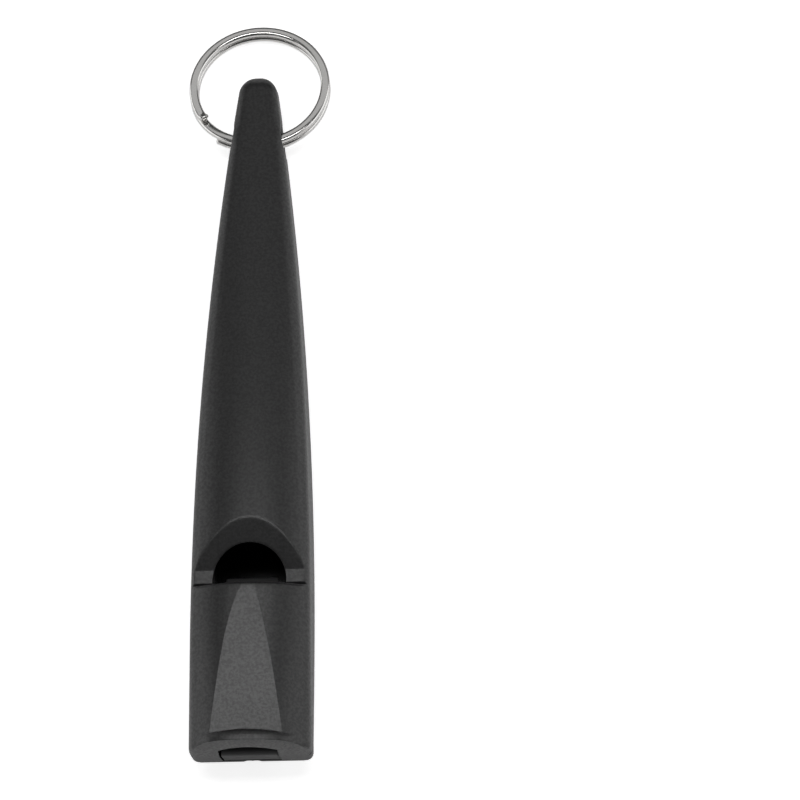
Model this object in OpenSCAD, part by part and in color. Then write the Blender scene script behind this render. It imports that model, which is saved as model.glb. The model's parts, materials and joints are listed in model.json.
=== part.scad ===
// Dog whistle: a moulded body in two halves, a windway block in its mouth, and a split ring at its tip.
// It lies on its back with its voiced front up. +Y runs from the mouth to the ring, and the origin is
// on the flat back, half-way along the body. Lengths inside the modules are counted from the mouth.

/* [Body] */
// Length of the body from the mouth to the tip
body_l = 85; // [70:0.5:105]
// Width across the mouthpiece
body_w = 14.3; // [13:0.1:17.5]
// Height of the crowned front above the flat back
body_h = 11.2; // [10.4:0.1:13.6]
// Length of the mouthpiece whose sides run parallel
straight_l = 13.5; // [8:0.1:25]
// Length of the front, from the mouth, whose crown runs level
level_l = 27.5; // [27:0.1:33]
// Width of the body where the dome of the tip begins
tip_w = 5; // [4.4:0.1:6.4]
// Height of the body where the dome of the tip begins
tip_h = 5.9; // [5.4:0.1:7.2]
// Radius of the crown across the front
crown_r = 8.84; // [8.2:0.02:11]
// Radius of the rounded back behind the mouthpiece
belly_r = 13; // [10.8:0.1:16]
// Radius of the rounded back at the tip
tip_back_r = 4.2; // [3.6:0.1:5]
// Depth of the flat along the rounded back
flat_depth = 0.35; // [0.25:0.01:0.5]
// Radius of the upright corners of the mouth end
corner_r = 0.8; // [0.4:0.1:1.2]

/* [Mouthpiece] */
// Length of the bite lips at the mouth
lip_l = 1.35; // [1:0.05:1.8]
// Depth of the front bite facet behind its lip
front_bite = 1.05; // [0.7:0.05:1.3]
// Depth of the front bite facet at the window
front_bite_end = 0.05; // [0.02:0.01:0.1]
// Length from the mouth to the far end of the back facet
back_bite_l = 19; // [16:0.1:23]
// Height of the back lip above the flat back
mouth_back = 3.2; // [2.6:0.1:3.4]
// Step of the back lip above the back facet
back_lip = 0.55; // [0.3:0.05:0.7]

/* [Voice] */
// Length of the windway from the mouth to the window
windway_l = 18.9; // [16:0.1:22]
// Width of the mouth slot
windway_w = 6.8; // [5.6:0.1:7.6]
// Height of the windway at its middle
windway_h = 1.4; // [1.2:0.05:1.7]
// Depth of the windway's roof below the crown
roof_drop = 3.1; // [2.6:0.1:3.4]
// Depth of the ledges beside the window below the crown
ledge_drop = 2.6; // [2.2:0.1:2.8]
// Length of the ledges beside the window
ledge_l = 2; // [1.6:0.1:2.4]
// Length of the ramp from the ledges up to the crown
ramp_l = 5.8; // [5:0.1:6.6]
// Half width of the window and radius of its round end
window_r = 4.25; // [3.6:0.05:4.9]
// Distance from the windway's end to the centre of the window's round end
window_inset = 1.05; // [0.7:0.05:1.4]
// Length of the sounding chamber beyond the windway
chamber_l = 14; // [11:0.1:17]
// Thickness of the chamber's roof below the crown
chamber_roof = 1.95; // [1.6:0.05:2.3]
// Height of the chamber's floor above the flat back
chamber_floor = 2; // [1.6:0.1:2.6]
// Thickness of the stop that closes the chamber
stop_l = 2.4; // [2:0.1:3]

/* [Windway block] */
// Height of the block's seat above the flat back
block_seat = 4.55; // [4.4:0.05:5]
// Distance of the block's end inside the mouth
block_inset = 0.3; // [0:0.05:0.8]
// Length of the block's nose in the window
block_reach = 1.75; // [1:0.05:2]
// Thickness of the block's nose at its end
nose_t = 0.6; // [0.4:0.05:0.9]
// Clearance on each side of the block and of its key
block_gap = 0.1; // [0.05:0.01:0.15]
// Width of the slot in the back for the block's key
slot_w = 3.4; // [2.8:0.1:4]
// Length of the slot in the back
slot_l = 13.15; // [11:0.05:13.5]
// Distance from the mouth to the slot
slot_inset = 4.35; // [3.8:0.05:4.6]
// Corner radius at the slot's mouth end
slot_r = 0.5; // [0.3:0.05:0.8]
// Space in the slot at each end of the key
key_end = 1; // [0.6:0.1:1.6]
// Depth of the key's face below the back facet
key_recess = 1; // [0.6:0.05:1.1]

/* [Shells] */
// Height of the parting plane at the mouth
seam_mouth = 5.6; // [5.3:0.05:6.2]
// Wall of the hollow tail
tail_wall = 1.9; // [1.6:0.05:2.1]
// Solid length between the hollow tail and the ring hole
tail_solid = 4.5; // [3.8:0.1:6]
// Diameter of the locating pegs
peg_d = 1.4; // [1:0.1:1.6]
// Height of the locating pegs above the parting plane
peg_l = 1.2; // [0.8:0.1:1.4]
// Distance of the two chamber pegs from the middle
peg_x = 2.6; // [2:0.1:3.4]
// Clearance around the pegs, and past their ends
peg_gap = 0.1; // [0.05:0.01:0.2]

/* [Ring] */
// Diameter of the cross hole for the ring
hole_d = 3.2; // [2.8:0.05:3.85]
// Diameter of the hole's flared mouths at the sides
flare_d = 4.2; // [3.9:0.05:4.8]
// Depth of the flared mouths
flare_depth = 0.6; // [0.3:0.05:0.9]
// Distance of the hole's centre from the end of the tip
hole_inset = 8.3; // [7.4:0.1:9.5]
// Height of the hole's centre above the flat back
hole_z = 3.5; // [3.2:0.05:3.8]
// Outer diameter of the ring
ring_d = 17; // [14:0.1:20]
// Width of the ring's wire, across the ring
wire_w = 1.05; // [0.8:0.05:1.2]
// Thickness of the ring's wire, along the ring's axis
wire_t = 0.62; // [0.5:0.02:0.7]
// Gap between the ring's two turns
wire_gap = 0.45; // [0.42:0.01:0.5]
// Height of the ring's lowest point above the surface that the whistle lies on
rest_gap = 0.1; // [0.05:0.05:0.4]

/* [Hidden] */
$fn = 96;

// Margin by which a cutting shape runs past what it cuts
past = 1;
// Margin of the tip's sphere over half of the tip's height
dome_over = 0.2;

crown_z = body_h - crown_r;
tip_r = tip_h / 2 + dome_over;
tip_y = body_l - tip_r;
side_drop = (body_w - tip_w) / 2;
side_r = (pow(tip_y - straight_l, 2) + pow(side_drop, 2)) / (2 * side_drop);
tail_angle = atan2(body_h - tip_h, tip_y - level_l);
cone_angle = asin((belly_r - tip_back_r) / (tip_y - back_bite_l));
cone_apex_y = tip_y + tip_back_r / sin(cone_angle);

ledge_z = body_h - ledge_drop;
ramp_y = windway_l + ledge_l;
roof_r = crown_r - roof_drop;
chamber_r = crown_r - chamber_roof;
block_top = crown_z + roof_r - windway_h;
stop_y = windway_l + chamber_l;
facet_z = mouth_back + back_lip;

hole_y = body_l - hole_inset;
seam_angle = atan2(seam_mouth - hole_z, hole_y);
hollow_y = [stop_y + stop_l, hole_y - hole_d / 2 - tail_solid];
tail_peg_y = hole_y - (hole_d + tail_solid) / 2;

// Half width of the body, height of its crown's middle line, and radius of its back, at y from the mouth
function half_w(y) = body_w / 2 - side_r + sqrt(pow(side_r, 2) - pow(max(0, y - straight_l), 2));
function crown_top(y) = body_h - max(0, y - level_l) * tan(tail_angle);
function back_r(y) = (cone_apex_y - y) * sin(cone_angle);
// Height of the parting plane, and of the back facet, at y from the mouth
function seam_z(y) = seam_mouth - y * tan(seam_angle);
function back_facet(y) = facet_z * (back_bite_l - y) / (back_bite_l - lip_l);
// Half width, roof and floor of the hollow tail, inside its wall
function hollow_w(y) = half_w(y) - tail_wall;
function arc_drop(r, x) = r - sqrt(pow(r, 2) - pow(x, 2));
function hollow_top(y) = crown_top(y) - arc_drop(crown_r, hollow_w(y)) - tail_wall;
function hollow_floor(y) = arc_drop(back_r(y), hollow_w(y)) - flat_depth + tail_wall;

// A round bar along +Y from the origin
module bar(r, l) {
    rotate([-90, 0, 0])
        cylinder(r = r, h = l);
}

// A side view given as [y, z] points, as wide as w across the middle plane
module across(points, w) {
    rotate([90, 0, 90])
        linear_extrude(height = w, center = true)
            polygon(points);
}

// A box of width w about the middle plane, from y0 to y1 and from z0 to z1
module middle_box(w, y0, y1, z0, z1) {
    translate([-w / 2, y0, z0])
        cube([w, y1 - y0, z1 - z0]);
}

// The outline seen from the front: parallel at the mouthpiece, then two long arcs to the tip
module outline() {
    translate([0, 0, -past])
        linear_extrude(height = body_h + 2 * past) {
            intersection() {
                translate([side_r - body_w / 2, straight_l])
                    circle(r = side_r, $fn = 256);
                translate([body_w / 2 - side_r, straight_l])
                    circle(r = side_r, $fn = 256);
                translate([-body_w, straight_l])
                    square([2 * body_w, body_l]);
            }
            translate([-body_w / 2, corner_r])
                square([body_w, straight_l - corner_r]);
            translate([corner_r - body_w / 2, 0])
                square([body_w - 2 * corner_r, straight_l]);
            for (side = [-1, 1])
                translate([side * (body_w / 2 - corner_r), corner_r])
                    circle(r = corner_r);
        }
}

// The crowned front, level over the mouthpiece and falling along the tail
module crown() {
    intersection() {
        translate([0, -past, crown_z])
            bar(crown_r, body_l + 2 * past);
        translate([0, level_l, body_h])
            rotate([-tail_angle, 0, 0])
                translate([0, -level_l - tip_h, -crown_r])
                    bar(crown_r, body_l + 2 * tip_h);
    }
}

// The rounded back, a long cone that lies on its side
module rounded_back() {
    length = cone_apex_y + past;
    translate([0, cone_apex_y, -flat_depth])
        rotate([-90 - cone_angle, 0, 0])
            translate([0, 0, -length * cos(cone_angle)])
                cylinder(r1 = length * sin(cone_angle), r2 = 0, h = length * cos(cone_angle));
}

// Everything up to the domed end of the tip
module domed_end() {
    middle_box(2 * body_w, -past, tip_y, -past, body_h + past);
    translate([0, tip_y, tip_h / 2])
        sphere(r = tip_r);
}

// The cut across the front: bite facet, ledges beside the window, and the ramp up to the crown
module front_cut() {
    across([
        [lip_l, body_h + past],
        [lip_l, body_h - front_bite],
        [windway_l, body_h - front_bite_end],
        [windway_l, ledge_z],
        [ramp_y, ledge_z],
        [ramp_y + ramp_l, body_h],
        [ramp_y + ramp_l + past * ramp_l / ledge_drop, body_h + past]
    ], 2 * body_w);
}

// The cut across the back: the lip and the facet behind it
module back_cut() {
    across([
        [-past, -past],
        [-past, mouth_back],
        [lip_l, mouth_back],
        [lip_l, facet_z],
        [back_bite_l, 0],
        [back_bite_l, -past]
    ], 2 * body_w);
}

module whole_body() {
    difference() {
        intersection() {
            outline();
            crown();
            rounded_back();
            domed_end();
            middle_box(2 * body_w, -past, body_l + past, 0, body_h + past);
        }
        front_cut();
        back_cut();
    }
}

// All that lies above the parting plane, which runs from the mouth down to the ring hole
module above_seam() {
    translate([0, 0, seam_mouth])
        rotate([-seam_angle, 0, 0])
            middle_box(2 * body_w, -body_h, body_l + body_h, 0, 2 * body_h);
}

// The passage in the mouth that takes the block and the windway over it
module mouth_passage() {
    intersection() {
        translate([0, -past, crown_z])
            bar(roof_r, windway_l + 2 * past);
        middle_box(windway_w, -past, windway_l + past, block_seat, body_h);
    }
}

module chamber() {
    intersection() {
        translate([0, windway_l, crown_z])
            bar(chamber_r, chamber_l);
        middle_box(2 * window_r, windway_l, stop_y, chamber_floor, body_h);
    }
}

// The window: straight-sided from the windway's end, then round
module window() {
    round_y = windway_l + window_inset;
    intersection() {
        translate([0, round_y, block_seat])
            cylinder(r = window_r, h = body_h);
        middle_box(2 * window_r + past, round_y, round_y + 2 * window_r, block_seat, body_h + past);
    }
    middle_box(2 * window_r, windway_l, round_y, block_seat, body_h + past);
}

// The hollow of the tail: a tapered plan and a tapered side view
module tail_hollow() {
    intersection() {
        linear_extrude(height = body_h)
            polygon([
                [-hollow_w(hollow_y[0]), hollow_y[0]],
                [hollow_w(hollow_y[0]), hollow_y[0]],
                [hollow_w(hollow_y[1]), hollow_y[1]],
                [-hollow_w(hollow_y[1]), hollow_y[1]]
            ]);
        across([
            [hollow_y[0], hollow_floor(hollow_y[0])],
            [hollow_y[1], hollow_floor(hollow_y[1])],
            [hollow_y[1], hollow_top(hollow_y[1])],
            [hollow_y[0], hollow_top(hollow_y[0])]
        ], body_w);
    }
}

// The cross hole for the ring, with its flared mouths
module ring_hole() {
    flare_step = (flare_d - hole_d) / 2;
    translate([0, hole_y, hole_z]) {
        rotate([0, 90, 0])
            cylinder(d = hole_d, h = 2 * body_w, center = true);
        for (side = [-1, 1])
            translate([side * (half_w(hole_y) - flare_depth), 0, 0])
                rotate([0, side * 90, 0])
                    cylinder(d1 = hole_d, d2 = hole_d + 4 * flare_step, h = 2 * flare_depth);
    }
}

// The slot in the back facet, square at the window's end and round-cornered at the mouth's end.
// It runs up through the block's seat into the passage over it.
module back_slot() {
    far_y = slot_inset + slot_l;
    top_z = (block_seat + block_top) / 2;
    middle_box(slot_w, slot_inset + slot_r, far_y, -past, top_z);
    middle_box(slot_w - 2 * slot_r, slot_inset, far_y, -past, top_z);
    for (side = [-1, 1])
        translate([side * (slot_w / 2 - slot_r), slot_inset + slot_r, -past])
            cylinder(r = slot_r, h = top_z + past);
}

// Pegs that stand on the parting plane, or their sockets when grown by the clearance
module pegs(grow) {
    places = [[-peg_x, stop_y + stop_l / 2], [peg_x, stop_y + stop_l / 2], [0, tail_peg_y]];
    for (place = places)
        translate([place[0], place[1], seam_z(place[1]) - past])
            cylinder(d = peg_d + 2 * grow, h = past + peg_l + grow);
}

// The ring's wire: a front turn and a rear turn, with one step between them. Angles are in degrees,
// counted along the wire from its front end, which stands at end_angle seen from the front.
ring_step = 15;
ring_end = 690;
jog_start = 330;
jog_end = 360;
end_angle = 214.5;
wire_r = (ring_d - wire_w) / 2;
wire_pitch = wire_t + wire_gap;
// Six corners of the flat wire, as [across the ring, along its axis]
wire_corners = [
    for (side = [1, -1])
        for (corner = [[-1, 0], [-0.5, 1], [0.5, 1]])
            side * [corner[0] * wire_w / 2, corner[1] * wire_t / 2]
];

function jog(turn) = min(1, max(0, (turn - jog_start) / (jog_end - jog_start)));
function layer(turn) = wire_pitch / 2 * cos(180 * jog(turn));
function wire_ring(turn) = [
    for (corner = wire_corners)
        let (a = end_angle - turn, r = wire_r + corner[0])
            [r * cos(a), r * sin(a), layer(turn) + corner[1]]
];

wire_rings = [for (turn = [0 : ring_step : ring_end]) wire_ring(turn)];
wire_points = [for (ring = wire_rings) each ring];
sides = len(wire_corners);
last_ring = len(wire_rings) - 1;
wire_faces = concat(
    [for (i = [1 : sides - 2]) [0, i + 1, i]],
    [for (ring = [0 : last_ring - 1]) for (i = [0 : sides - 1])
        let (a = ring * sides + i, b = ring * sides + (i + 1) % sides)
            each [[a, b, b + sides], [a, b + sides, a + sides]]],
    [for (i = [1 : sides - 2]) let (base = last_ring * sides) [base, base + i, base + i + 1]]
);

// Least gap between points of the wire that lie half a turn or more apart along it
half_turn = 180 / ring_step;
wire_least_gap = min([
    for (i = [0 : last_ring - half_turn])
        for (j = [i + half_turn : last_ring])
            for (p = wire_rings[i])
                for (q = wire_rings[j])
                    norm(p - q)
]);
echo(str("least gap of the ring's wire to itself: ", round(wire_least_gap * 1000) / 1000, " mm"));

// The ring's centre lies so far from the hole's axis that its arc is centred in the hole
ring_sag = arc_drop(wire_r, half_w(hole_y));
ring_offset = wire_r - ring_sag / 2;
// Tilt at which the ring's far side comes down to the surface under the whistle
ring_reach = ring_offset + ring_d / 2;
ring_half_t = (wire_pitch + wire_t) / 2;
ring_droop = asin((hole_z - rest_gap) / norm([ring_reach, ring_half_t])) - atan2(ring_half_t, ring_reach);

// Moves a piece from its place counted from the mouth to the body's own frame
module from_mouth() {
    translate([0, -body_l / 2, 0])
        children();
}

module front_shell() {
    color("#39393a")
        from_mouth()
            difference() {
                intersection() {
                    whole_body();
                    above_seam();
                }
                mouth_passage();
                chamber();
                window();
                tail_hollow();
                ring_hole();
                pegs(peg_gap);
            }
}

module back_shell() {
    color("#1b1b1c")
        from_mouth()
            difference() {
                union() {
                    difference() {
                        whole_body();
                        above_seam();
                    }
                    pegs(0);
                }
                mouth_passage();
                chamber();
                tail_hollow();
                ring_hole();
                back_slot();
            }
}

module windway_block() {
    nose_y = windway_l + block_reach;
    key_y = [slot_inset + key_end, slot_inset + slot_l - key_end];
    color("#4b4b4c")
        from_mouth() {
            across([
                [block_inset, block_seat],
                [windway_l, block_seat],
                [nose_y, block_top - nose_t],
                [nose_y, block_top],
                [block_inset, block_top]
            ], windway_w - 2 * block_gap);
            across([
                [key_y[0], block_seat + nose_t],
                [key_y[0], back_facet(key_y[0]) + key_recess],
                [key_y[1], back_facet(key_y[1]) + key_recess],
                [key_y[1], block_seat + nose_t]
            ], slot_w - 2 * block_gap);
        }
}

module split_ring() {
    color("#c9c9cd")
        from_mouth()
            translate([0, hole_y, hole_z])
                rotate([-ring_droop, 0, 0])
                    translate([0, ring_offset, 0])
                        polyhedron(points = wire_points, faces = wire_faces);
}

front_shell();
back_shell();
windway_block();
split_ring();
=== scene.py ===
import json
import math

import bpy
import numpy as np
from mathutils import Matrix, Vector


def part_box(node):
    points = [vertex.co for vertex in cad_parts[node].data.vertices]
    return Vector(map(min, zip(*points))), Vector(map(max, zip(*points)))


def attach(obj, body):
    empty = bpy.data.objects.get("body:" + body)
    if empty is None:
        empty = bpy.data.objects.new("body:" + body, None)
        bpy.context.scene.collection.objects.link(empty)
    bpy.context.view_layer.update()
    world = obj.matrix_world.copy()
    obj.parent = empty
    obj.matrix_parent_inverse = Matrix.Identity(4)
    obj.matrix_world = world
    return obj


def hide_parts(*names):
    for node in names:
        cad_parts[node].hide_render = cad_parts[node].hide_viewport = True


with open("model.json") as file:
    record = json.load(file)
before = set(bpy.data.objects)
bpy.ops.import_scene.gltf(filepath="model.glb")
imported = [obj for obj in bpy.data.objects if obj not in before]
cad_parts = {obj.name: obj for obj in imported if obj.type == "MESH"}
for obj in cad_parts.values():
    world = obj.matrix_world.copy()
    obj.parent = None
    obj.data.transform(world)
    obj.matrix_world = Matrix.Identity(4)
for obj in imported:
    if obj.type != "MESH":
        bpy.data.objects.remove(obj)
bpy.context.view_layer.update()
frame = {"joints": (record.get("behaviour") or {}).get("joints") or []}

# Back shell.
# The lower half of the body, injection moulded in glossy black plastic. A flat band runs down its tail, and
# a bite facet at the mouth has a lip, and a slot for the key of the windway block. It is welded to the front
# shell on a parting plane. Sizes are in millimetres, and s is the distance from the mouth.

MM = 0.001
shell_low, shell_high = (np.array(corner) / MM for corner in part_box("front_shell"))
body_l = shell_high[1] - shell_low[1]
body_w = shell_high[0] - shell_low[0]
body_h = shell_high[2]
ring_axis = np.array(frame["joints"][0]["pos_m"]) / MM
hole_s = ring_axis[1] - shell_low[1]
hole_z = ring_axis[2]
hole_r = 1.6
hole_round = 0.9

straight_l = 13.5
taper_end = 81.85
tip_w = 5.0
plan_corner_r = 0.8
dome_l = 2.2
dome_left = 0.02
seam_mouth = 5.6
seam_bevel = 0.03

windway_l = 18.9
windway_half = 3.4
chamber_end = 32.9
chamber_half = 4.4
tail_start = 35.3
tail_end = 70.6
tail_wall = 1.9
mouth_skew = 0.32
skew_s = (12.0, 24.0)
skew_z = (3.75, 5.6)
step = 0.02
slack = 0.001
guard = 0.01
row_gap = 0.004
sharp_fold = math.radians(30)


def smooth_min(first, second, blend):
    """The lesser of two heights, rounded by a parabola where they differ by less than blend."""
    near = np.clip(1 - np.abs(first - second) / blend, 0, 1)
    return np.minimum(first, second) - near**2 * blend / 4


def smooth_max(first, second, blend):
    """The greater of two heights, rounded in the same way."""
    return -smooth_min(-first, -second, blend)


def smooth_step(value):
    """Rises from 0 to 1 as value does, and levels off at both ends."""
    share = np.clip(value, 0, 1)
    return share**2 * (3 - 2 * share)


def quarter_round(depth, radius):
    """How far a rounded edge of that radius lies behind its flat at a depth from the edge."""
    left = radius - np.clip(depth, 0, radius)
    return radius - np.sqrt(radius**2 - left**2)


def half_width(s):
    """Half the width at s from the mouth: rounded corners, parallel sides, then one long arc to the tip."""
    drop = (body_w - tip_w) / 2
    run = taper_end - straight_l
    side_r = (run**2 + drop**2) / (2 * drop)
    arc = side_r - np.sqrt(side_r**2 - np.clip(s - straight_l, 0, None) ** 2)
    return body_w / 2 - quarter_round(s, plan_corner_r) - arc


def seam_height(s):
    """The parting plane's height: a straight fall from the mouth to the axis of the ring hole."""
    return seam_mouth + (hole_z - seam_mouth) * s / hole_s


def dome(s):
    """The share of the section that is left at s: an ellipse over the last of the tip."""
    past = np.clip((s - body_l + dome_l) / dome_l, 0, 1)
    return np.sqrt(np.clip(1 - past**2, 0, 1))


def hole_inset(s, z):
    """How far the side lies inside its plane close to the ring hole, whose mouth is rounded."""
    return quarter_round(np.hypot(s - hole_s, z - hole_z) - hole_r, hole_round)


def off_hole(z, s, side):
    """Heights moved off the ring hole: to its lower arc for side -1, or to its upper arc for side 1."""
    arc = hole_z + side * np.sqrt(np.clip(hole_r**2 - (s - hole_s) ** 2, 0, None))
    return np.where(np.abs(s - hole_s) < hole_r, side * np.maximum(side * z, side * arc), z)


def along_tail(s):
    """Where s lies in the hollow of the tail."""
    return (s > tail_start - step / 2) & (s < tail_end + step / 2)


def spread(start, end, cells, closed=False):
    """Places from start towards end in each row, in equal cells, with or without the end itself."""
    share = np.arange(cells) / (cells - 1 if closed else cells)
    return start[:, None] + (end - start)[:, None] * share


def columns_of(edges, cells):
    """Places across each row: one stretch of equal cells between each edge and the next."""
    return np.hstack([spread(*stretch) for stretch in zip(edges[:-1], edges[1:], cells)])


def rounded(first, corner, last, cells):
    """A quadratic curve in each row that leaves first towards corner and arrives at last."""
    t = np.arange(cells) / cells
    ends = first[:, None] * (1 - t) ** 2 + last[:, None] * t**2
    return ends + 2 * corner[:, None] * t * (1 - t)


def rows_of(*stretches):
    """The rows of a grid: stretches of s put together in order, without any that are too close."""
    s = np.unique(np.round(np.concatenate(stretches), 4))
    return s[np.append(True, np.diff(s) > row_gap)]


def mirrored(x, z, s):
    """A grid of points over the full width from the half on the +x side, whose first column is x = 0.
    The mouth is moulded a little off the middle: its points move to -x, and less so towards the sides, by
    one less the square of their share of the half width, and towards the back and the window."""
    side = np.stack([x, np.broadcast_to(s, x.shape), z], axis=2)
    grid = np.hstack([side[:, :0:-1] * [-1, 1, 1], side])
    along = 1 - smooth_step((grid[..., 1] - skew_s[0]) / (skew_s[1] - skew_s[0]))
    upward = smooth_step((grid[..., 2] - skew_z[0]) / (skew_z[1] - skew_z[0]))
    inward = np.clip(1 - (grid[..., 0] / half_width(grid[..., 1])) ** 2, 0, 1)
    grid[..., 0] -= mouth_skew * along * upward * inward
    return grid


def sheet_solid(name, upper, lower, opened, marks=None):
    """A closed solid between two grids of points with the same rows and columns: the upper grid's cells face
    up, the lower's face down, and a wall of quads joins the two along the border and round the opened cells.
    The wall at the first row meets the lower grid in a crisp edge. Marks on the upper grid are kept as a
    vertex attribute."""
    rows, columns = upper.shape[:2]
    place = np.arange(rows * columns).reshape(rows, columns)
    under = place + rows * columns
    cells = np.stack([place[:-1, :-1], place[:-1, 1:], place[1:, 1:], place[1:, :-1]], axis=2)
    kept = ~opened
    faces = [cells[kept], cells[kept][:, ::-1] + rows * columns]
    solid = np.pad(kept, 1)
    left, right = solid[1:-1, :-1], solid[1:-1, 1:]
    along = np.stack([place[:-1], under[:-1], under[1:], place[1:]], axis=2)
    faces += [along[left & ~right], along[right & ~left][:, ::-1]]
    before, after = solid[:-1, 1:-1], solid[1:, 1:-1]
    across = np.stack([place[:, 1:], under[:, 1:], under[:, :-1], place[:, :-1]], axis=2)
    faces += [across[before & ~after], across[after & ~before][:, ::-1]]
    used, faces = np.unique(np.concatenate(faces), return_inverse=True)
    points = np.concatenate([upper.reshape(-1, 3), lower.reshape(-1, 3)])[used]
    made = mesh_object(name, (points + [0, shell_low[1], 0]) * MM, faces.reshape(-1, 4).tolist())
    edges = made.data.edges
    ends = np.empty(2 * len(edges), np.int32)
    edges.foreach_get("vertices", ends)
    grid, spot = np.divmod(used[ends.reshape(-1, 2)], rows * columns)
    crisp = np.empty(len(edges), bool)
    edges.foreach_get("use_edge_sharp", crisp)
    edges.foreach_set("use_edge_sharp", crisp | ((spot < columns) & (grid == 1)).all(axis=1))
    if marks is not None:
        layer = made.data.attributes.new("marks", "FLOAT", "POINT")
        layer.data.foreach_set("value", np.append(marks, 0 * marks)[used].astype(np.float32))
    return made


def mesh_object(name, points, faces):
    """A smooth-shaded mesh object at the origin, with its steeper folds kept sharp."""
    mesh = bpy.data.meshes.new(name)
    mesh.from_pydata(points.tolist(), [], faces)
    mesh.shade_smooth()
    mesh.set_sharp_from_angle(angle=sharp_fold)
    made = bpy.data.objects.new(name, mesh)
    bpy.context.scene.collection.objects.link(made)
    return made


class Signal:
    """One output of a shader node. Sums and products of signals add Math nodes to the same tree."""

    def __init__(self, tree, plug=None):
        self.tree = tree
        self.plug = plug

    def node(self, kind, settings, inputs, output=0):
        """Adds a node: its settings first, then values or links into its sockets."""
        made = self.tree.nodes.new(kind)
        for key, value in settings.items():
            setattr(made, key, value)
        for key, value in inputs.items():
            if isinstance(value, Signal):
                self.tree.links.new(value.plug, made.inputs[key])
            else:
                made.inputs[key].default_value = value
        return Signal(self.tree, made.outputs[output] if made.outputs else None)

    def math(self, operation, first, second):
        """One Math node on two signals or numbers."""
        return self.node("ShaderNodeMath", {"operation": operation}, {0: first, 1: second})

    def __add__(self, other):
        return self.math("ADD", self, other)

    def __radd__(self, other):
        return self.math("ADD", other, self)

    def __sub__(self, other):
        return self.math("SUBTRACT", self, other)

    def __rsub__(self, other):
        return self.math("SUBTRACT", other, self)

    def __mul__(self, other):
        return self.math("MULTIPLY", self, other)

    def __rmul__(self, other):
        return self.math("MULTIPLY", other, self)

    def noise(self, scale, detail=3.0, roughness=0.55):
        """Noise from 0 to 1 at this place, with that many features to the metre."""
        return self.node(
            "ShaderNodeTexNoise",
            {},
            {"Vector": self, "Scale": scale, "Detail": detail, "Roughness": roughness},
        )

    def stretched(self, x, y, z):
        """This place with each axis scaled, so that a pattern on it is drawn out along the small ones."""
        return self.node("ShaderNodeMapping", {}, {"Vector": self, "Scale": (x, y, z)})

    def between(self, low, high):
        """0 where this is below low, 1 above high, and smooth in between."""
        return self.node(
            "ShaderNodeMapRange",
            {"interpolation_type": "SMOOTHSTEP"},
            {"Value": self, "From Min": low, "From Max": high},
        )

    def tint(self, first, second):
        """The colour first where this is 0, and second where it is 1."""
        return self.node(
            "ShaderNodeMix",
            {"data_type": "RGBA"},
            {"Factor": self, 6: (*first, 1), 7: (*second, 1)},
            output=2,
        )

    def bump(self, strength, distance):
        """A normal that tilts as if this were a height, of that distance in metres from 0 to 1."""
        return self.node("ShaderNodeBump", {}, {"Height": self, "Strength": strength, "Distance": distance})


def new_finish(name):
    """A material with an empty tree, and the object's own coordinates as a signal in it."""
    material = bpy.data.materials.new(name)
    material.use_nodes = True
    material.node_tree.nodes.clear()
    place = Signal(material.node_tree).node("ShaderNodeTexCoord", {}, {}, output=3)
    return material, place


def finished(material, place, inputs):
    """Ends a material's tree with one Principled surface that has those inputs."""
    surface = place.node("ShaderNodeBsdfPrincipled", {}, inputs)
    place.node("ShaderNodeOutputMaterial", {}, {"Surface": surface})
    return material


belly_r = 13.0
belly_s = 19.0
belly_rise = 0.4
belly_blend = 1.0
belly_end = belly_s + 0.5
tip_back_r = 4.2
band_share = 0.48
band_fade = (21.0, 41.0)
band_end = (79.8, 83.4)
band_blend = 0.04
back_lip_l = 1.35
back_lip_z = 3.2
back_lip_run = (back_lip_l - 0.12, back_lip_l + 0.3)
back_lip_rows = (back_lip_l - 0.2, back_lip_l + 0.4)
back_step_z = 3.75
facet_past = 10
facet_blend = 0.06
mouth_round = 0.3
nick_x = 0.4
nick_half = 0.5
nick_z = 0.4
nick_l = 0.4
slot_half = 1.7
slot_s = (4.35, 17.5)
slot_corner = 0.5
slot_rim = 0.12
back_edge = 0.6
back_draft = math.tan(math.radians(4))
seat_z = 4.55
foot_seat_z = 3.95
foot_l = 2.5
floor_z = 2.0
crease_inset = 1.4
crease_guard = 0.003
crease_soft = 0.15
rim_share = 0.1
slot_share = 0.6
back_bend_share = 0.45
side_share = 0.8
inner_rim = 0.1
inner_share = 0.45
land_share = 0.3
back_cells = (8, 5, 6, 6, 18, 8, 7)
black = (0.0085, 0.0085, 0.009)
faded_black = (0.0115, 0.0115, 0.012)
worn_s = (0.2, 1.2)


def back_radius(s):
    """The radius of the rounded back: a cone from the belly to the tip, which levels off at the mouth."""
    cone = belly_r + (tip_back_r - belly_r) * (s - belly_s) / (taper_end - belly_s)
    return smooth_min(cone, belly_r + belly_rise, belly_blend)


def band_half(s):
    """Half the width of the flat band down the tail, which fades out at the belly and before the dome."""
    belly = smooth_step((s - band_fade[0]) / (band_fade[1] - band_fade[0]))
    tip = smooth_step((band_end[1] - s) / (band_end[1] - band_end[0]))
    return band_share * half_width(s) * belly * tip


def back_cut(s):
    """The height that the lip and the bite facet are cut to, which is below the back past the facet's end."""
    slope = back_step_z / (belly_s - back_lip_l)
    places = [0, *back_lip_run, belly_s, belly_s + facet_past]
    heights = [back_lip_z, back_lip_z, back_step_z, 0, -facet_past * slope]
    return np.interp(s, places, heights)


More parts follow.
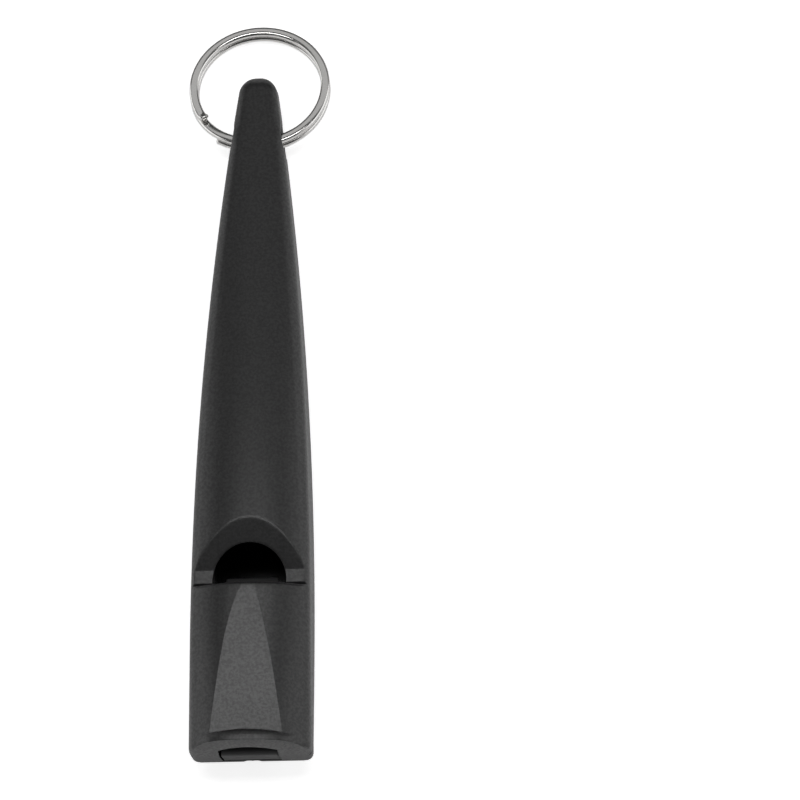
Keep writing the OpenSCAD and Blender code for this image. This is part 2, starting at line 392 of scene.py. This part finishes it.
def back_outside(x, s):
    """The height of the back: the cone, level at the band, cut by the facet, with a round edge and a nick."""
    radius = back_radius(s)
    depth = radius - np.sqrt(radius**2 - band_half(s) ** 2)
    cone = radius - np.sqrt(np.clip(radius**2 - x**2, guard, None)) - depth
    nick = nick_z * np.exp(-(((x - nick_x) / nick_half) ** 4)) * np.clip(1 - s / nick_l, 0, 1)
    shape = smooth_max(smooth_max(cone, 0 * x, band_blend), back_cut(s), facet_blend)
    return shape + quarter_round(s, mouth_round) + nick


def back_inside(x, s):
    """The inner side's height: the parting plane, sunk for the block's seat, chamber, tail and hole."""
    z = seam_height(s) + 0 * x
    in_windway = (s < windway_l + step / 2) & (np.abs(x) <= windway_half)
    z = np.where(in_windway, np.where(s < foot_l, foot_seat_z, seat_z), z)
    in_chamber = (s > windway_l + step / 2) & (s < chamber_end + step / 2) & (np.abs(x) <= chamber_half)
    z = np.where(in_chamber, floor_z, z)
    in_tail = along_tail(s) & (np.abs(x) <= half_width(s) - tail_wall)
    z = np.where(in_tail, np.maximum(floor_z, back_outside(x, s) + tail_wall), z)
    return off_hole(z, s, -1)


turn = np.linspace(0, np.pi / 2, 9)
half_turn = np.linspace(-np.pi / 2, np.pi / 2, 31)
dome_turn = np.linspace(0, np.pi / 2 - dome_left, 22)
round_share = np.linspace(0, 1, 7)
tail_rows = (
    [chamber_end, chamber_end + step, tail_start - step, tail_start, tail_end, tail_end + step],
    hole_s + hole_r * np.sin(half_turn),
    hole_s + hole_r + hole_round * round_share,
    hole_s - hole_r - hole_round * round_share,
    np.linspace(hole_s + hole_r + hole_round, body_l - dome_l, 10),
    body_l - dome_l * (1 - np.sin(dome_turn)),
)
back_s = rows_of(
    mouth_round * (1 - np.cos(turn)),
    np.linspace(mouth_round, back_lip_rows[0], 5),
    np.linspace(*back_lip_rows, 13),
    np.linspace(back_lip_rows[1], slot_s[0] - slot_rim, 9),
    slot_s[0] - slot_rim * np.cos(turn[::2]),
    slot_s[0] + slot_corner * (1 - np.cos(turn)),
    np.linspace(slot_s[0] + slot_corner, slot_s[1], 36),
    slot_s[1] + slot_rim * np.sin(turn[::2]),
    np.linspace(slot_s[1] + slot_rim, belly_end, 22),
    [foot_l - step, foot_l, windway_l, windway_l + step],
    np.linspace(belly_end, hole_s - hole_r - hole_round, 88),
    *tail_rows,
)
column_s = back_s[:, None]

half = half_width(back_s)
seam = seam_height(back_s)
rim_z = off_hole(seam, back_s, -1)

in_slot = (back_s > slot_s[0] - slack) & (back_s < slot_s[1] + slack)
cut_z = np.maximum(back_cut(back_s), 0)
radius = back_radius(back_s)
sunk = np.sqrt(radius**2 - band_half(back_s) ** 2) - cut_z
crease = np.sqrt(np.clip(radius**2 - sunk**2, crease_guard, None))
crease = np.minimum(crease, half - crease_inset)
slot_edge = slot_half - quarter_round(back_s - slot_s[0], slot_corner)
slot_edge = np.where(in_slot, slot_edge, np.minimum(slot_half - slot_corner, slot_share * crease))
rim_edge = slot_edge + np.minimum(slot_rim, rim_share * crease)
soft = np.minimum(crease_soft, rim_share * crease)

edge_x = half - back_draft * (seam - back_outside(half, back_s))
edge_z = back_outside(edge_x, back_s)
tilt = np.arctan((edge_z - back_outside(edge_x - step, back_s)) / step)
bend = np.minimum(back_edge, back_bend_share * (seam - edge_z))
from_x = edge_x - bend * np.cos(tilt)
side_z = edge_z + np.minimum(bend, side_share * (rim_z - edge_z))
flat_x = columns_of([0 * half, slot_edge, rim_edge, crease - soft, crease + soft, from_x], back_cells)
flat_z = back_outside(flat_x, column_s)
slot_gap = np.maximum(np.abs(flat_x) - slot_half, np.maximum(slot_s[0] - column_s, column_s - slot_s[1]))
corner_gap = np.hypot(flat_x - slot_half + slot_corner, column_s - slot_s[0] - slot_corner) - slot_corner
at_corner = (flat_x > slot_half - slot_corner) & (column_s < slot_s[0] + slot_corner)
flat_z = flat_z + quarter_round(np.where(at_corner, corner_gap, slot_gap), slot_rim)
bend_x = rounded(from_x, edge_x, half - back_draft * (seam - side_z), back_cells[5])
bend_z = rounded(back_outside(from_x, back_s), edge_z, side_z, back_cells[5])
wall_z = spread(side_z, rim_z - seam_bevel, back_cells[6], closed=True)
wall_x = (half - back_draft * seam)[:, None] + back_draft * wall_z
side_x = np.hstack([bend_x, wall_x])
side_z = np.hstack([bend_z, wall_z])
side_x = side_x - hole_inset(column_s, side_z)
outer_x = np.hstack([flat_x, side_x])
outer_z = np.hstack([flat_z, side_z])

cavity = np.where(back_s < chamber_end + step, chamber_half, half / 2)
cavity = np.where(along_tail(back_s), half - tail_wall, cavity)
cavity = np.where(back_s < windway_l + step / 2, windway_half, cavity)
inner_edge = np.where(in_slot, slot_edge, inner_share * cavity)
land_x = half - hole_inset(back_s, rim_z) - seam_bevel
shore_x = cavity + land_share * (land_x - cavity)
inner_x = np.hstack(
    [
        columns_of([0 * half, inner_edge, inner_edge + inner_rim], back_cells),
        spread(inner_edge + inner_rim, cavity, back_cells[2], closed=True),
        spread(cavity + step, shore_x, back_cells[3]),
        spread(shore_x, land_x, sum(back_cells[4:]), closed=True),
    ]
)
inner_z = back_inside(inner_x, column_s)

left = dome(column_s)
upper = mirrored(inner_x * left, seam[:, None] + (inner_z - seam[:, None]) * left, column_s)
lower = mirrored(outer_x * left, seam[:, None] + (outer_z - seam[:, None]) * left, column_s)
opened = np.zeros((len(back_s) - 1, upper.shape[1] - 1), bool)
middle = upper.shape[1] // 2
opened[in_slot[:-1] & in_slot[1:], middle - back_cells[0] : middle + back_cells[0]] = True
back_shell = sheet_solid("back_moulding", upper, lower, opened)

finish, place = new_finish("gloss_black")
drift = place.noise(260.0, detail=2.0)
scuff = place.stretched(2600.0, 240.0, 2600.0).noise(1.0, detail=4.0).between(0.52, 0.8)
orange_peel = place.noise(1900.0, detail=2.0)
along = place.node("ShaderNodeSeparateXYZ", {}, {0: place}, output=1)
worn = 1 - along.between((shell_low[1] + worn_s[0]) * MM, (shell_low[1] + worn_s[1]) * MM)
back_shell.data.materials.append(
    finished(
        finish,
        place,
        {
            "Base Color": drift.tint(black, faded_black),
            "Roughness": 0.13 + 0.05 * drift + 0.1 * scuff + 0.25 * worn,
            "Normal": orange_peel.bump(0.12, 0.00002),
            "Specular IOR Level": 0.5,
        },
    )
)
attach(back_shell, "body")
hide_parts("back_shell")

# Windway block.
# A satin charcoal insert, moulded on its own, that is the floor of the windway. It lies on the back shell's
# seat. Its thin nose reaches into the window, its foot fills the mouth, and its key fills the back slot.

block_half = 3.25
block_shift = 0.08
block_start = 0.05
block_top = 6.7
block_round = 0.14
block_brow = 0.7
entry_l = 4.0
entry_drop = 0.35
nose_end = 21.2
nose_t = 0.6
nose_drop = 0.3
nose_inset = 0.25
nose_inset_l = 0.5
nose_inset_run = 0.1
foot_end = foot_l - 0.1
shelf_s = (4.45, 5.1)
shelf_recess = 0.5
groove_end = 5.28
groove_recess = 1.8
key_recess = 1.0
key_ramp = 16.2
key_end = 17.4
key_end_recess = 0.15
key_half = 1.6
under_round = 0.3
block_cells = (10, 8)
charcoal = (0.012, 0.012, 0.0125)
light_charcoal = (0.017, 0.017, 0.0175)


def key_face(s):
    """The depth of the key's face behind the back facet: a shelf, a groove, the long face, then a ramp."""
    places = [*shelf_s, shelf_s[1] + step, groove_end - step, groove_end, key_ramp, key_end]
    depths = [shelf_recess] * 2 + [groove_recess] * 2 + [key_recess] * 2 + [key_end_recess]
    return np.interp(s, places, depths)


def block_under(x, s):
    """The height of the block's under side at x, s: foot, seat and nose, with the key inside the slot."""
    z = np.where(s < foot_end + step / 2, foot_seat_z, seat_z)
    z = np.where(s > windway_l + step / 2, block_top - nose_t, z)
    in_key = (s > shelf_s[0] - slack) & (s < key_end + slack) & (np.abs(x) <= key_half)
    return np.where(in_key, back_cut(s) + key_face(s), z)


block_s = rows_of(
    block_start + block_brow * (1 - np.cos(turn)),
    np.linspace(block_start + block_brow, shelf_s[0], 12),
    [foot_end, foot_end + step, shelf_s[0] - step, shelf_s[0], shelf_s[1], shelf_s[1] + step],
    [groove_end - step, groove_end, key_ramp, key_end, key_end + step, windway_l, windway_l + step],
    np.linspace(groove_end, windway_l, 40),
    np.linspace(windway_l + step, nose_end - block_round, 8),
    nose_end - block_round * (1 - np.sin(turn)),
)
column_s = block_s[:, None]
block_edge = block_half - nose_inset * smooth_step((block_s - nose_end + nose_inset_l) / nose_inset_run)
top_x = np.hstack(
    [
        spread(0 * block_s, 0 * block_s + key_half, block_cells[0], closed=True),
        spread(key_half + step + 0 * block_s, block_edge - block_round, block_cells[1]),
        block_edge[:, None] - block_round * (1 - np.sin(turn)),
    ]
)
end_round = quarter_round(block_s - block_start, block_brow)
end_round = end_round + quarter_round(nose_end - block_s, block_round)
entry = entry_drop * np.clip(1 - block_s / entry_l, 0, 1) ** 2
entry = entry + nose_drop * np.clip((block_s - windway_l) / (nose_end - windway_l), 0, 1)
side_round = quarter_round(block_edge[:, None] - top_x, block_round)
top_z = block_top - side_round - (end_round + entry)[:, None]
under_z = block_under(top_x, column_s) + under_round * side_round
upper = mirrored(top_x, top_z, column_s) + [block_shift, 0, 0]
lower = mirrored(top_x, under_z, column_s) + [block_shift, 0, 0]
opened = np.zeros((len(block_s) - 1, upper.shape[1] - 1), bool)
block = sheet_solid("voicing_block", upper, lower, opened)

finish, place = new_finish("satin_charcoal")
drift = place.noise(700.0)
grain = place.noise(5200.0, detail=2.0)
block.data.materials.append(
    finished(
        finish,
        place,
        {
            "Base Color": drift.tint(charcoal, light_charcoal),
            "Roughness": 0.36 + 0.12 * drift,
            "Normal": grain.bump(0.15, 0.00003),
            "Specular IOR Level": 0.35,
        },
    )
)
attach(block, "body")
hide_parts("windway_block")

# Front shell.
# The upper half of the body, moulded in charcoal plastic with a fine matte grain, and welded to the back
# shell. Its crowned front is cut flat for the bite, then drops at a wall to the foot of a ramp, through
# which the sound window opens into the chamber.

mouth_crown_r = 8.84
far_crown_r = 11.6
crown_grows = 20.0
level_l = 34.0
level_blend = 13.0
tip_h = 5.9
front_lip_l = 1.42
lip_bow = 0.4
lip_bow_l = 5.0
mouth_lean = 0.38
lean_half = 6.9
lean_power = 8
lean_guard = 1
lip_slope = 0.12
lip_lead = 0.08
lip_over = 0.02
lip_rows = 0.05
front_bite = 1.05
bite_z = body_h - front_bite
bite_half = math.sqrt(mouth_crown_r**2 - (mouth_crown_r - front_bite) ** 2)
bite_bulge = 0.12
wall_s = windway_l + 0.4
ledge_z = body_h - 2.05
ledge_end = wall_s + 1.9
ramp_end = ledge_end + 6.1
wall_run = 0.12
wall_foot = wall_s + wall_run
groove_l = 0.32
groove_depth = 0.3
window_r = 4.25
window_round_s = windway_l + 1.15
window_end = window_round_s + window_r
window_rim = 0.06
undercut = 0.35
roof_r = 5.74
chamber_roof_r = 6.89
roof_axis_z = 2.36
crown_edge = 1.2
bite_blend = 0.008
arch_blend = 0.09
wall_round = 0.45
lip_round = 0.8
front_draft = math.tan(math.radians(4))
crown_round = 0.05
lip_fall = 0.017
lip_top = 0.85
bead_flat = 0.018
bead_half = 6.0
bead_fade = 2.2
bead_s = (0.7, 1.5)
roof_flare = 0.5
ramp_rows = 0.4
hidden = 0.4
front_bend_share = 0.55
fan_share = 0.6
fan_l = 9.0
crease_gap = 0.05
bite_soft = 0.12
arch_soft = 0.3
soft_share = 0.15
soft_room = 0.8
bow_guard = 0.0004
past_share = 0.5
past_l = 1.5
shoulder_l = 1
shoulder_share = (0.45, 0.66)
rim_room = 0.3
brow_share = 0.95
lip_brow_share = 0.8
undercut_share = 1.08
undercut_fade = 2
roof_rim = 0.05
roof_share = 0.5
bite_near = 0.012
front_cells = (8, 5, 6, 8, 20, 20, 6)
matte_charcoal = (0.009, 0.009, 0.0093)
dusty_charcoal = (0.017, 0.017, 0.0174)


def crown_top(s):
    """The crown's height in the middle: level at the mouth, then a straight fall to the tip."""
    fall = (body_h - tip_h) / (taper_end - level_l)
    return body_h - fall * smooth_max(s - level_l, 0 * s, level_blend)


def crown_radius(s):
    """The crown's radius across, which grows from the mouth to the window and stays so down the tail."""
    return mouth_crown_r + (far_crown_r - mouth_crown_r) * smooth_step(s / crown_grows)


def crown(x, s):
    """The crown's height: a circle across, with a flatter bead at the mouth that falls to its edge."""
    radius = crown_radius(s)
    fall = lip_fall * np.clip(1 - s / lip_top, 0, 1) ** 2 + quarter_round(s, crown_round)
    bead = bead_flat * x**2 * smooth_step((bead_half - np.abs(x)) / bead_fade)
    bead = bead * (1 - smooth_step((s - bead_s[0]) / (bead_s[1] - bead_s[0])))
    return crown_top(s) - radius + np.sqrt(radius**2 - x**2) + bead - fall


ramp_slope = (body_h - ledge_z) / (ramp_end - ledge_end)
cut_path = np.array(
    [
        (0, body_h + hidden),
        (front_lip_l - lip_lead, body_h + hidden),
        (front_lip_l, body_h + lip_over),
        (front_lip_l + lip_slope, bite_z),
        (wall_s, body_h),
        (wall_foot, ledge_z - groove_depth),
        (wall_foot + groove_l, ledge_z),
        (ledge_end, ledge_z),
        (ramp_end + hidden / ramp_slope, body_h + hidden),
        (body_l, body_h + hidden),
    ]
)


def front_cut(s):
    """The height that the front is cut to: over the lip, up the bite, which bulges by a parabola, down the
    wall, then up the ramp."""
    share = np.clip((s - front_lip_l - lip_slope) / (wall_s - front_lip_l - lip_slope), 0, 1)
    return np.interp(s, cut_path[:, 0], cut_path[:, 1]) + 4 * bite_bulge * share * (1 - share)


def mouth_lean_at(x, z, s):
    """How far back a point near the mouth lies: the end face leans back with height, but not at its sides."""
    top = body_h - mouth_crown_r + np.sqrt(np.clip(mouth_crown_r**2 - x**2, lean_guard, None))
    share = np.clip((z - seam_mouth) / (top - seam_mouth), 0, 1)
    inward = np.clip(1 - (x / lean_half) ** lean_power, 0, 1)
    return mouth_lean * inward * share * np.clip(1 - s / front_lip_l, 0, 1)


def lip_bow_at(x, s):
    """How far back a point near the lip lies, because the lip bows out towards the window."""
    past_lip = smooth_step((s - front_lip_l - lip_slope) / lip_bow_l)
    inward = np.clip(1 - (x / bite_half) ** 2, 0, None)
    return lip_bow * inward * smooth_step(s / front_lip_l) * (1 - past_lip)


def front_inside(x, s):
    """The inner side's height: the parting plane, raised for the windway, chamber, tail and hole."""
    z = seam_height(s) + 0 * x
    in_windway = (s < wall_foot + slack) & (np.abs(x) <= windway_half + slack)
    flare = roof_flare * np.clip(1 - s / roof_flare, 0, 1) ** 2
    roof = roof_axis_z + np.sqrt(np.clip(roof_r**2 - x**2, guard, None)) + flare
    z = np.where(in_windway, roof, z)
    in_chamber = (s > wall_foot + slack) & (s < chamber_end + step / 2) & (np.abs(x) <= chamber_half)
    z = np.where(in_chamber, roof_axis_z + np.sqrt(np.clip(chamber_roof_r**2 - x**2, guard, None)), z)
    in_tail = along_tail(s) & (np.abs(x) <= half_width(s) - tail_wall)
    z = np.where(in_tail, np.maximum(z, crown(x, s) - tail_wall), z)
    return off_hole(z, s, 1)


arch_x = np.linspace(0, 1, 30) * np.sqrt(far_crown_r**2 - (ledge_z - body_h + far_crown_r) ** 2)
arch_z = body_h - far_crown_r + np.sqrt(far_crown_r**2 - arch_x**2)
front_s = rows_of(
    crown_round * (1 - np.cos(turn)),
    front_lip_l - (front_lip_l - crown_round) * (1 - np.sin(turn)),
    np.linspace(front_lip_l, front_lip_l + lip_slope + lip_rows, 12),
    np.linspace(front_lip_l + lip_slope + lip_rows, wall_s - wall_round, 44),
    wall_s - wall_round * (1 - np.sin(turn)),
    np.linspace(wall_s, wall_foot, 16),
    [wall_foot + step],
    np.linspace(wall_foot + 2 * step, wall_foot + groove_l, 6),
    np.linspace(wall_foot + groove_l, ledge_end, 8),
    window_round_s + window_r * np.sin(np.linspace(0, np.pi / 2, 26)),
    window_end + window_rim * np.linspace(0, 1, 6),
    ledge_end + (arch_z - ledge_z) / ramp_slope,
    np.linspace(ramp_end, ramp_end + ramp_rows, 8),
    np.linspace(ramp_end + ramp_rows, hole_s - hole_r - hole_round, 76),
    *tail_rows,
)
column_s = front_s[:, None]

half = half_width(front_s)
seam = seam_height(front_s)
rim_z = off_hole(seam, front_s, 1)

edge_x = half - front_draft * (crown(half, front_s) - seam)
edge_z = crown(edge_x, front_s)
radius = crown_radius(front_s)
bend = np.minimum(crown_edge, front_bend_share * (edge_z - seam))
from_x = edge_x - bend * np.sqrt(1 - (edge_x / radius) ** 2)
side_z = edge_z - np.minimum(bend, side_share * (edge_z - rim_z))

rise = np.clip(front_cut(front_s) - crown_top(front_s) + radius, 0, radius)
cut_x = np.sqrt(radius**2 - rise**2)
fan_tail = fan_share * half * smooth_step((front_s - ramp_end) / fan_l)
cut_x = np.where(front_s < front_lip_l + lip_slope, bite_half, np.maximum(cut_x, fan_tail))
crease = np.clip(cut_x, crease_gap, from_x - crease_gap)
soft = np.where(front_s < wall_s, bite_soft, arch_soft)
soft = np.minimum(soft, np.minimum(soft_share * crease, soft_room * (from_x - crease)))
in_window = (front_s > wall_foot - slack) & (front_s < window_end + slack)
past_round = np.clip(front_s - window_round_s, 0, None)
bow = np.sqrt(np.clip(window_r**2 - past_round**2, bow_guard, None))
past_window = past_share * crease * smooth_step((front_s - window_end) / past_l)
shoulder = np.interp(front_s, [wall_s - shoulder_l, wall_s], shoulder_share) * crease
window_edge = np.where(in_window, bow, past_window + step)
window_edge = np.where(front_s < wall_foot - slack, shoulder, window_edge)
rim_edge = window_edge + np.minimum(window_rim, rim_room * (crease - soft - window_edge))
flat_x = columns_of([0 * half, window_edge, rim_edge, crease - soft, crease + soft, from_x], front_cells)
bend_x = rounded(from_x, edge_x, half - front_draft * (side_z - seam), front_cells[5])
bend_z = rounded(crown(from_x, front_s), edge_z, side_z, front_cells[5])
top_x = np.hstack([flat_x, bend_x])
top_z = np.hstack([crown(flat_x, column_s), bend_z])
brow = np.clip(brow_share * (top_z - ledge_z), 0, wall_round)
brow = np.where(column_s < wall_foot + slack, quarter_round(wall_s - column_s, brow), 0)
lip_brow = quarter_round(front_lip_l - column_s, np.clip(lip_brow_share * (top_z - bite_z), 0, lip_round))
lip_brow = np.where(column_s < front_lip_l + lip_slope, lip_brow, 0)
blend = np.where(column_s < wall_s, bite_blend, arch_blend)
cut = front_cut(column_s) - brow * (column_s < wall_s)
top_z = smooth_min(top_z - brow - lip_brow, cut, blend)
window_gap = np.hypot(top_x, np.clip(column_s - window_round_s, 0, None)) - window_r
rim_drop = quarter_round(window_gap, window_rim)
top_z = top_z - np.where(column_s > wall_foot - slack, rim_drop, 0)
wall_z = spread(side_z, rim_z + seam_bevel, front_cells[6], closed=True)
wall_x = (half + front_draft * seam)[:, None] - front_draft * wall_z
outer_x = np.hstack([top_x, wall_x])
outer_z = np.hstack([top_z, wall_z])
outer_x[:, flat_x.shape[1] :] -= hole_inset(column_s, outer_z[:, flat_x.shape[1] :])

cavity = np.where(front_s < chamber_end + step, chamber_half, half / 2)
cavity = np.where(along_tail(front_s), half - tail_wall, cavity)
in_windway = front_s < wall_foot + slack
cavity = np.where(in_windway, windway_half, cavity)
window_side = np.minimum(undercut_share * bow, cavity - inner_rim)
window_side = np.where(in_window & ~in_windway, window_side, roof_share * cavity)
land_x = half - hole_inset(front_s, rim_z) - seam_bevel
shore_x = cavity + land_share * (land_x - cavity)
inner_x = np.hstack(
    [
        columns_of([0 * half, window_side, window_side + roof_rim], front_cells),
        spread(window_side + roof_rim, cavity, front_cells[2], closed=True),
        spread(cavity + step, shore_x, front_cells[3]),
        spread(shore_x, land_x, sum(front_cells[4:]), closed=True),
    ]
)
inner_z = front_inside(inner_x, column_s)

left = dome(column_s)
outer_s = column_s + mouth_lean_at(outer_x, outer_z, column_s) + lip_bow_at(outer_x, column_s)
upper = mirrored(outer_x * left, seam[:, None] + (outer_z - seam[:, None]) * left, outer_s)
reach = np.clip((column_s - window_round_s) / window_r, 0, 1)
reach = reach * np.clip(1 - (column_s - window_end) / undercut_fade, 0, 1)
inner_s = column_s + undercut * reach + mouth_lean_at(inner_x, inner_z, column_s)
lower = mirrored(inner_x * left, seam[:, None] + (inner_z - seam[:, None]) * left, inner_s)
opened = np.zeros((len(front_s) - 1, upper.shape[1] - 1), bool)
middle = upper.shape[1] // 2
opened[in_window[:-1] & in_window[1:], middle - front_cells[0] : middle + front_cells[0]] = True
on_bite = (column_s > front_lip_l + lip_slope - guard) & (column_s < wall_s)
on_bite = on_bite & (np.abs(top_z - cut) < bite_near)
on_bite = np.hstack([on_bite, np.zeros(wall_z.shape, bool)])
on_bite = np.hstack([on_bite[:, :0:-1], on_bite])
front_shell = sheet_solid("front_moulding", upper, lower, opened, on_bite)

finish, place = new_finish("matte_charcoal")
bite = place.node("ShaderNodeAttribute", {"attribute_name": "marks"}, {}, output=2)
wrinkle = place.stretched(2600.0, 3000.0, 2600.0).noise(1.0, detail=4.0, roughness=0.6)
mottle = place.noise(420.0, detail=4.0)
streak = place.stretched(900.0, 9.0, 900.0).noise(1.0, detail=3.0)
grain = place.noise(3200.0, detail=1.0)
sheen = grain.between(0.3, 0.7) + bite * (0.4 * wrinkle.between(0.3, 0.7) - 0.05)
tone = 0.5 * mottle + 0.3 * streak + 0.2 * grain + bite * (0.4 * wrinkle + 0.05)
front_shell.data.materials.append(
    finished(
        finish,
        place,
        {
            "Base Color": tone.tint(matte_charcoal, dusty_charcoal),
            "Roughness": 0.35 + 0.06 * mottle + 0.05 * streak - 0.04 * bite,
            "Coat Weight": 0.35 * sheen,
            "Coat Roughness": 0.35,
            "Normal": (0.6 * grain + 0.8 * bite * wrinkle).bump(0.6, 0.00003),
        },
    )
)
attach(front_shell, "body")
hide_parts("front_shell")

# Split ring.
# Flat spring wire wound twice round and nickel plated. The front turn steps down to the rear one just before
# its start, so that both ends lie side by side. It hangs in the hole through the tip, and swings about it.

ring_d = 16.9
wire_w = 1.12
wire_t = 0.8
top_pitch = 1.03
top_sink = 0.085
hole_pitch = 1.07
start_angle = math.radians(214.5)
turns = math.radians(702.5)
jog = (math.radians(315), math.radians(385))
flare_l = math.radians(28)
flare_out = 0.2
flare_sink = 0.2
hook_l = math.radians(7)
hook_in = 0.3
hook_rise = 0.25
end_round = math.radians(2.4)
end_guard = 0.0009
wide_power = 0.62
thick_power = 0.7
wire_cells = 24
path_cells = 420
wire_r = (ring_d - wire_w) / 2
droop = math.radians(9.14)
ring_reach = 7.56
worn_nickel = (0.72, 0.71, 0.69)
bright_nickel = (0.82, 0.81, 0.8)


def ring_points(along, around):
    """The wire's surface: a rounded oblong, which is a circle with a power taken of its sine and cosine,
    swept round two turns that lie one pitch apart, with rounded ends."""
    near_end = np.clip(1 - np.minimum(along, turns - along) / end_round, 0, 1)
    shrink = np.sqrt(np.clip(1 - near_end**2, end_guard, 1))
    hook = np.clip(1 - along / hook_l, 0, 1) ** 2
    flare = np.clip(1 - (turns - along) / flare_l, 0, 1) ** 2
    angle = start_angle - along
    pitch = top_pitch + (hole_pitch - top_pitch) * (1 - np.sin(angle)) / 2
    layer = pitch * (0.5 - smooth_step((along - jog[0]) / (jog[1] - jog[0])))
    layer = layer + hook_rise * hook - flare_sink * flare
    layer = layer - top_sink * (1 + np.sin(angle)) / 2
    wide = np.sign(np.cos(around)) * np.abs(np.cos(around)) ** wide_power * wire_w / 2
    thick = np.sign(np.sin(around)) * np.abs(np.sin(around)) ** thick_power * wire_t / 2
    reach = wire_r - hook_in * hook + flare_out * flare + wide * shrink
    return np.stack([reach * np.cos(angle), reach * np.sin(angle), layer + thick * shrink], axis=2)


bends = np.linspace(0, 1, 10)
along = np.concatenate(
    [
        end_round * (1 - np.cos(bends * np.pi / 2)),
        np.linspace(end_round, turns - end_round, path_cells)[1:-1],
        turns - end_round * (1 - np.sin(bends * np.pi / 2)),
    ]
)[:, None]
around = (2 * np.pi * (np.arange(wire_cells) + 0.5) / wire_cells)[None, :]
wire = ring_points(along, around)
rows = len(along)
first = np.arange(rows - 1)[:, None] * wire_cells
here = first + np.arange(wire_cells)
there = first + (np.arange(wire_cells) + 1) % wire_cells
faces = np.stack([here, here + wire_cells, there + wire_cells, there], axis=2).reshape(-1, 4).tolist()
faces.append(list(range(wire_cells)))
faces.append(list(range(rows * wire_cells - 1, (rows - 1) * wire_cells - 1, -1)))

turned = Matrix.Rotation(-droop, 4, "X")
wire = wire.reshape(-1, 3) @ np.array(turned.to_3x3()).T
wire = wire + ring_axis + [0, ring_reach * math.cos(droop), -ring_reach * math.sin(droop)]
ring = mesh_object("ring_wire", wire * MM, faces)

finish, place = new_finish("bright_nickel")
wear = place.noise(900.0, detail=4.0)
brushed = place.noise(6000.0, detail=2.0)
ring.data.materials.append(
    finished(
        finish,
        place,
        {
            "Base Color": wear.tint(worn_nickel, bright_nickel),
            "Metallic": 1.0,
            "Roughness": 0.1 + 0.1 * wear,
            "Normal": brushed.bump(0.08, 0.00002),
        },
    )
)
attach(ring, "ring")
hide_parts("split_ring")

# Studio.
# A white table and backdrop, a softbox overhead, a weaker one at each side and two faint fills, in metres.
# The camera looks down on the whistle from the mouth end at 70 degrees, with the whistle at the left of the
# picture.

table_half = 1.2
table_z = -0.0004
white = (1, 1, 1, 1)
paper_white = (0.86, 0.86, 0.86, 1)
seen_glow = 0.74
mirrored_glow = 0.21
room_glow = 0.06
corners = [(-1, -1), (1, -1), (1, 1), (-1, 1)]
table = bpy.data.meshes.new("table")
table.from_pydata([(x * table_half, y * table_half, table_z) for x, y in corners], [], [(0, 1, 2, 3)])
table = bpy.data.objects.new("table", table)
bpy.context.scene.collection.objects.link(table)
finish, place = new_finish("white_table")
seen = place.node("ShaderNodeLightPath", {}, {})
in_mirror = place.node("ShaderNodeLightPath", {}, {}, output=3)
paper = place.node("ShaderNodeBsdfDiffuse", {}, {"Color": paper_white})
shine = seen_glow * seen + mirrored_glow * in_mirror
glow = place.node("ShaderNodeEmission", {}, {"Color": white, "Strength": shine})
both = place.node("ShaderNodeAddShader", {}, {0: paper, 1: glow})
place.node("ShaderNodeOutputMaterial", {}, {"Surface": both})
table.data.materials.append(finish)


def softbox(name, place, target, width, depth, strength):
    """A rectangular lamp at place that faces target, with its strength as the brightness of its face."""
    lamp = bpy.data.lights.new(name, "AREA")
    lamp.shape = "RECTANGLE"
    lamp.size = width
    lamp.size_y = depth
    lamp.energy = strength * width * depth * math.pi
    made = bpy.data.objects.new(name, lamp)
    made.location = place
    made.rotation_euler = (Vector(target) - Vector(place)).to_track_quat("-Z", "Y").to_euler()
    bpy.context.scene.collection.objects.link(made)


at_table = (0, 0, 0)
over_table = (0, 0, 0.02)
softbox("overhead", (0, 0.12, 0.9), at_table, width=0.8, depth=0.18, strength=5.5)
softbox("far_fill", (0, 0.83, 0.82), at_table, width=1.4, depth=0.46, strength=0.44)
softbox("near_fill", (0, -0.8, 0.25), at_table, width=1.0, depth=0.3, strength=0.55)
softbox("left_side", (-0.75, 0.1, 0.25), over_table, width=1.0, depth=0.52, strength=1.1)
softbox("right_side", (0.75, 0.1, 0.34), over_table, width=1.0, depth=0.7, strength=1.1)

world = bpy.data.worlds.new("studio")
bpy.context.scene.world = world
world.use_nodes = True
world.node_tree.nodes.clear()
room = Signal(world.node_tree)
seen = room.node("ShaderNodeLightPath", {}, {})
shine = room_glow + (1 - room_glow) * seen
backdrop = room.node("ShaderNodeBackground", {}, {"Color": white, "Strength": shine})
room.node("ShaderNodeOutputWorld", {}, {"Surface": backdrop})

aim = Vector((0.01702, 0.00062, 0.005))
tilt = math.radians(20)
roll = math.radians(4.1)
away = 0.671
camera = bpy.data.cameras.new("camera")
camera.lens = 258.55
camera.sensor_width = 36.0
camera.clip_start = 0.01
eye = bpy.data.objects.new("camera", camera)
turned = Matrix.Rotation(roll, 4, "Y") @ Matrix.Rotation(tilt, 4, "X")
eye.location = aim + turned.to_3x3() @ Vector((0, 0, away))
eye.rotation_euler = turned.to_euler()
bpy.context.scene.collection.objects.link(eye)
bpy.context.scene.camera = eye
bpy.context.scene.view_settings.view_transform = "Standard"
